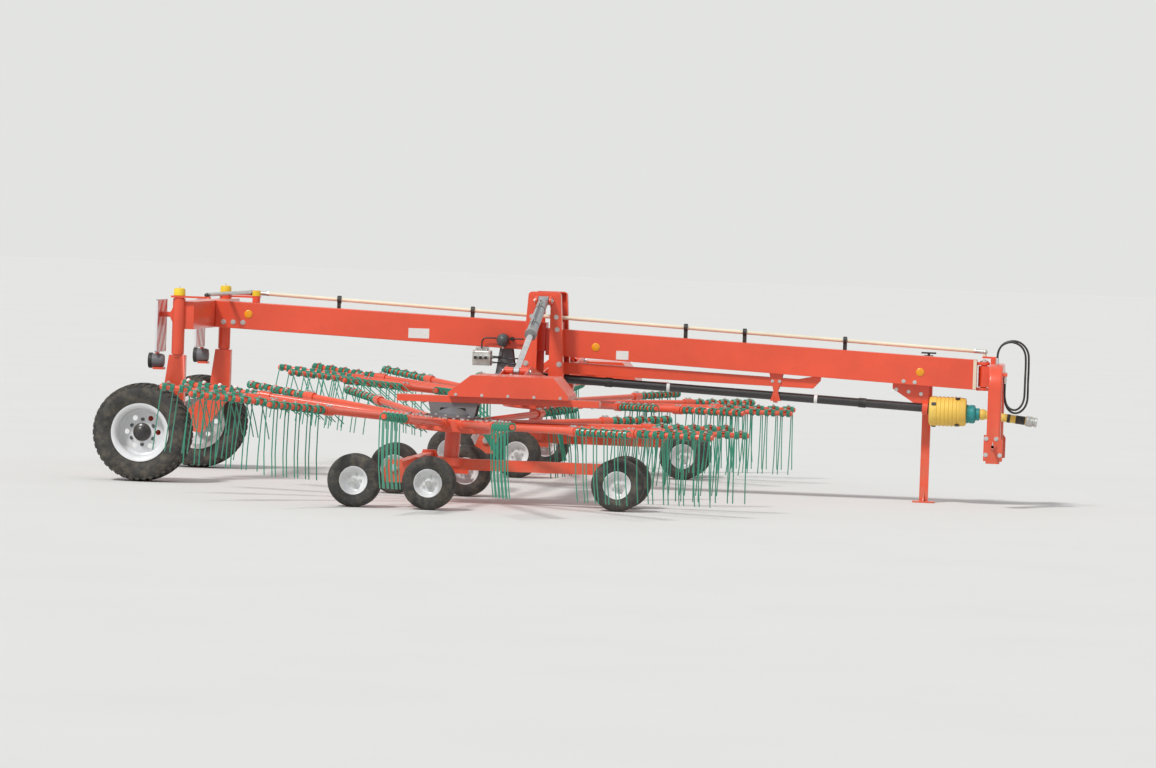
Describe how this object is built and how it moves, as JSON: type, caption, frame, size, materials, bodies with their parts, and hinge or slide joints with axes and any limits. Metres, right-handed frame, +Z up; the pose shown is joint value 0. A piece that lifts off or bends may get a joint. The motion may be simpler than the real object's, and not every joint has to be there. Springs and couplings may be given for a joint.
{
  "type": "twin-rotor rotary rake",
  "caption": "Towed farm rake with tined rotors on folding arms either side of a long beam, steered rear wheels and a hinged headstock.",
  "frame": {"origin": "on the ground, at the middle of the whole machine seen from above", "axes": "+X forward towards the tractor, +Y to the machine's left, +Z up"},
  "size_m": [7.4306, 10.1271, 1.6],
  "materials": {
    "red_paint": "orange-red gloss paint",
    "tine_green": "turquoise-green painted spring steel and red arms",
    "grey_cast": "grey painted castings",
    "black_paint": "black gloss paint",
    "guard_yellow": "yellow guard plastic",
    "cylinder_grey": "grey painted barrel",
    "rod_chrome": "polished piston rod",
    "tyre_rubber": "black rubber",
    "rim_silver": "silver-white paint",
    "cream_paint": "cream paint",
    "board_red": "red and white striped sheet",
    "lamp_red": "lamp lens and housing",
    "guide_black": "black plastic",
    "zinc": "zinc-plated steel"
  },
  "bodies": {
    "frame": {"main_beam_front": "red_paint", "main_beam_rear": "red_paint", "gantry": "red_paint", "central_gearbox": "grey_cast", "drive_tube": "black_paint", "pto_guard": "guard_yellow", "rear_axle_beam": "red_paint", "rod_guides": "guide_black", "jack_sleeve": "red_paint", "warning_boards": "board_red", "rear_lamps": "lamp_red", "shaft_hangers": "red_paint", "valve_block": "zinc", "accumulator": "zinc"},
    "headstock": {"headstock_arch": "red_paint", "hose_fittings": "zinc", "supply_hose": "guide_black", "return_hose": "guide_black", "supply_coupling": "zinc", "return_coupling": "zinc"},
    "drive_shaft": {"pto_shaft": "guard_yellow"},
    "jack": {"jack_leg": "zinc"},
    "steering_rod": {"steering_rod": "cream_paint"},
    "steering_lever": {"steering_lever": "red_paint"},
    "track_rod": {"track_rod": "zinc"},
    "knuckle_left": {"knuckle_left": "red_paint"},
    "transport_wheel_left": {"transport_tyre_left": "tyre_rubber", "transport_rim_left": "rim_silver"},
    "arm_left": {"swing_arm_left": "red_paint", "rotor_gearbox_left": "grey_cast", "cross_shaft_left": "guard_yellow", "rotor_chassis_left": "red_paint"},
    "cylinder_barrel_left": {"lift_barrel_left": "cylinder_grey"},
    "cylinder_rod_left": {"lift_rod_left": "rod_chrome"},
    "rotor_left": {"tine_rotor_left": "tine_green"},
    "wheel_outer_rear_left": {"wheel_outer_rear_left": "tyre_rubber"},
    "wheel_outer_front_left": {"wheel_outer_front_left": "tyre_rubber"},
    "wheel_inner_rear_left": {"wheel_inner_rear_left": "tyre_rubber"},
    "wheel_inner_front_left": {"wheel_inner_front_left": "tyre_rubber"},
    "wheel_nose_outer_left": {"wheel_nose_outer_left": "tyre_rubber"},
    "wheel_nose_inner_left": {"wheel_nose_inner_left": "tyre_rubber"},
    "knuckle_right": {"knuckle_right": "red_paint"},
    "transport_wheel_right": {"transport_tyre_right": "tyre_rubber", "transport_rim_right": "rim_silver"},
    "arm_right": {"swing_arm_right": "red_paint", "rotor_gearbox_right": "grey_cast", "cross_shaft_right": "guard_yellow", "rotor_chassis_right": "red_paint"},
    "cylinder_barrel_right": {"lift_barrel_right": "cylinder_grey"},
    "cylinder_rod_right": {"lift_rod_right": "rod_chrome"},
    "rotor_right": {"tine_rotor_right": "tine_green"},
    "wheel_outer_rear_right": {"wheel_outer_rear_right": "tyre_rubber"},
    "wheel_outer_front_right": {"wheel_outer_front_right": "tyre_rubber"},
    "wheel_inner_rear_right": {"wheel_inner_rear_right": "tyre_rubber"},
    "wheel_inner_front_right": {"wheel_inner_front_right": "tyre_rubber"},
    "wheel_nose_outer_right": {"wheel_nose_outer_right": "tyre_rubber"},
    "wheel_nose_inner_right": {"wheel_nose_inner_right": "tyre_rubber"}
  },
  "joints": [
    {"name": "headstock_yaw", "type": "hinge", "parent": "frame", "child": "headstock", "pos_m": [3.27, 0, 1.045], "axis": [0, 0, 1], "range_deg": [-60, 60]},
    {"name": "jack_slide", "type": "slide", "parent": "frame", "child": "jack", "axis": [0, 0, 1], "range_m": [0, 0.47]},
    {"name": "drive_shaft_swing", "type": "hinge", "parent": "frame", "child": "drive_shaft", "pos_m": [3.27, 0, 0.738], "axis": [0, 0, 1], "range_deg": [-60.5, 60.5]},
    {"name": "steering_rod_slide", "type": "slide", "parent": "frame", "child": "steering_rod", "axis": [1, 0, 0], "range_m": [-0.045, 0.045]},
    {"name": "centre_lever", "type": "hinge", "parent": "frame", "child": "steering_lever", "pos_m": [-2.67, 0, 1.455], "axis": [0, 0, 1], "range_deg": [-24.5, 24.5]},
    {"name": "track_rod_slide", "type": "slide", "parent": "frame", "child": "track_rod", "axis": [0, 1, 0], "range_m": [-0.092, 0.092]},
    {"name": "steer_left", "type": "hinge", "parent": "frame", "child": "knuckle_left", "pos_m": [-3.11, 1.1, 1.01], "axis": [0, 0, 1], "range_deg": [-24.5, 24.5]},
    {"name": "transport_wheel_spin_left", "type": "hinge", "parent": "knuckle_left", "child": "transport_wheel_left", "pos_m": [-3.326, 1.33, 0.39], "axis": [0, 1, 0], "continuous": true},
    {"name": "fold_left", "type": "hinge", "parent": "frame", "child": "arm_left", "pos_m": [-0.275, 0.35, 0.85], "axis": [1, 0, 0], "range_deg": [0, 85]},
    {"name": "cylinder_swing_left", "type": "hinge", "parent": "frame", "child": "cylinder_barrel_left", "pos_m": [-0.275, 0.345, 1.53], "axis": [1, 0, 0], "range_deg": [0, 107.6]},
    {"name": "cylinder_stroke_left", "type": "slide", "parent": "cylinder_barrel_left", "child": "cylinder_rod_left", "axis": [0, 0.9549, -0.2968], "range_m": [-0.7609, 0]},
    {"name": "rotor_spin_left", "type": "hinge", "parent": "arm_left", "child": "rotor_left", "pos_m": [-0.655, 2.8, 0.6], "axis": [0.0499, 0, 0.9988], "continuous": true},
    {"name": "wheel_outer_rear_left_spin", "type": "hinge", "parent": "arm_left", "child": "wheel_outer_rear_left", "pos_m": [-1.245, 3.9, 0.2], "axis": [0, 1, 0], "continuous": true},
    {"name": "wheel_outer_front_left_spin", "type": "hinge", "parent": "arm_left", "child": "wheel_outer_front_left", "pos_m": [-0.685, 3.9, 0.2], "axis": [0, 1, 0], "continuous": true},
    {"name": "wheel_inner_rear_left_spin", "type": "hinge", "parent": "arm_left", "child": "wheel_inner_rear_left", "pos_m": [-1.245, 1.7, 0.2], "axis": [0, 1, 0], "continuous": true},
    {"name": "wheel_inner_front_left_spin", "type": "hinge", "parent": "arm_left", "child": "wheel_inner_front_left", "pos_m": [-0.685, 1.7, 0.2], "axis": [0, 1, 0], "continuous": true},
    {"name": "wheel_nose_outer_left_spin", "type": "hinge", "parent": "arm_left", "child": "wheel_nose_outer_left", "pos_m": [0.645, 3.07, 0.2], "axis": [0, 1, 0], "continuous": true},
    {"name": "wheel_nose_inner_left_spin", "type": "hinge", "parent": "arm_left", "child": "wheel_nose_inner_left", "pos_m": [0.645, 2.53, 0.2], "axis": [0, 1, 0], "continuous": true},
    {"name": "steer_right", "type": "hinge", "parent": "frame", "child": "knuckle_right", "pos_m": [-3.11, -1.1, 1.01], "axis": [0, 0, 1], "range_deg": [-24.5, 24.5]},
    {"name": "transport_wheel_spin_right", "type": "hinge", "parent": "knuckle_right", "child": "transport_wheel_right", "pos_m": [-3.326, -1.33, 0.39], "axis": [0, 1, 0], "continuous": true},
    {"name": "fold_right", "type": "hinge", "parent": "frame", "child": "arm_right", "pos_m": [-0.275, -0.35, 0.85], "axis": [-1, 0, 0], "range_deg": [0, 85]},
    {"name": "cylinder_swing_right", "type": "hinge", "parent": "frame", "child": "cylinder_barrel_right", "pos_m": [-0.275, -0.345, 1.53], "axis": [-1, 0, 0], "range_deg": [0, 107.6]},
    {"name": "cylinder_stroke_right", "type": "slide", "parent": "cylinder_barrel_right", "child": "cylinder_rod_right", "axis": [0, -0.9549, -0.2968], "range_m": [-0.7609, 0]},
    {"name": "rotor_spin_right", "type": "hinge", "parent": "arm_right", "child": "rotor_right", "pos_m": [-0.655, -2.8, 0.6], "axis": [0.0499, 0, 0.9988], "continuous": true},
    {"name": "wheel_outer_rear_right_spin", "type": "hinge", "parent": "arm_right", "child": "wheel_outer_rear_right", "pos_m": [-1.245, -3.9, 0.2], "axis": [0, 1, 0], "continuous": true},
    {"name": "wheel_outer_front_right_spin", "type": "hinge", "parent": "arm_right", "child": "wheel_outer_front_right", "pos_m": [-0.685, -3.9, 0.2], "axis": [0, 1, 0], "continuous": true},
    {"name": "wheel_inner_rear_right_spin", "type": "hinge", "parent": "arm_right", "child": "wheel_inner_rear_right", "pos_m": [-1.245, -1.7, 0.2], "axis": [0, 1, 0], "continuous": true},
    {"name": "wheel_inner_front_right_spin", "type": "hinge", "parent": "arm_right", "child": "wheel_inner_front_right", "pos_m": [-0.685, -1.7, 0.2], "axis": [0, 1, 0], "continuous": true},
    {"name": "wheel_nose_outer_right_spin", "type": "hinge", "parent": "arm_right", "child": "wheel_nose_outer_right", "pos_m": [0.645, -3.07, 0.2], "axis": [0, 1, 0], "continuous": true},
    {"name": "wheel_nose_inner_right_spin", "type": "hinge", "parent": "arm_right", "child": "wheel_nose_inner_right", "pos_m": [0.645, -2.53, 0.2], "axis": [0, 1, 0], "continuous": true}
  ],
  "couplings": [
    {"joint": "drive_shaft_swing", "follows": "headstock_yaw", "ratio": 1},
    {"joint": "steering_rod_slide", "follows": "headstock_yaw", "m_per_rad": -0.04117},
    {"joint": "centre_lever", "follows": "headstock_yaw", "ratio": 0.4},
    {"joint": "track_rod_slide", "follows": "headstock_yaw", "m_per_rad": -0.08545},
    {"joint": "steer_left", "follows": "headstock_yaw", "ratio": -0.4},
    {"joint": "cylinder_swing_left", "follows": "fold_left", "ratio": 1.2595},
    {"joint": "cylinder_stroke_left", "follows": "fold_left", "m_per_rad": -0.51153},
    {"joint": "steer_right", "follows": "headstock_yaw", "ratio": -0.4},
    {"joint": "cylinder_swing_right", "follows": "fold_right", "ratio": 1.2595},
    {"joint": "cylinder_stroke_right", "follows": "fold_right", "m_per_rad": -0.51153}
  ]
}
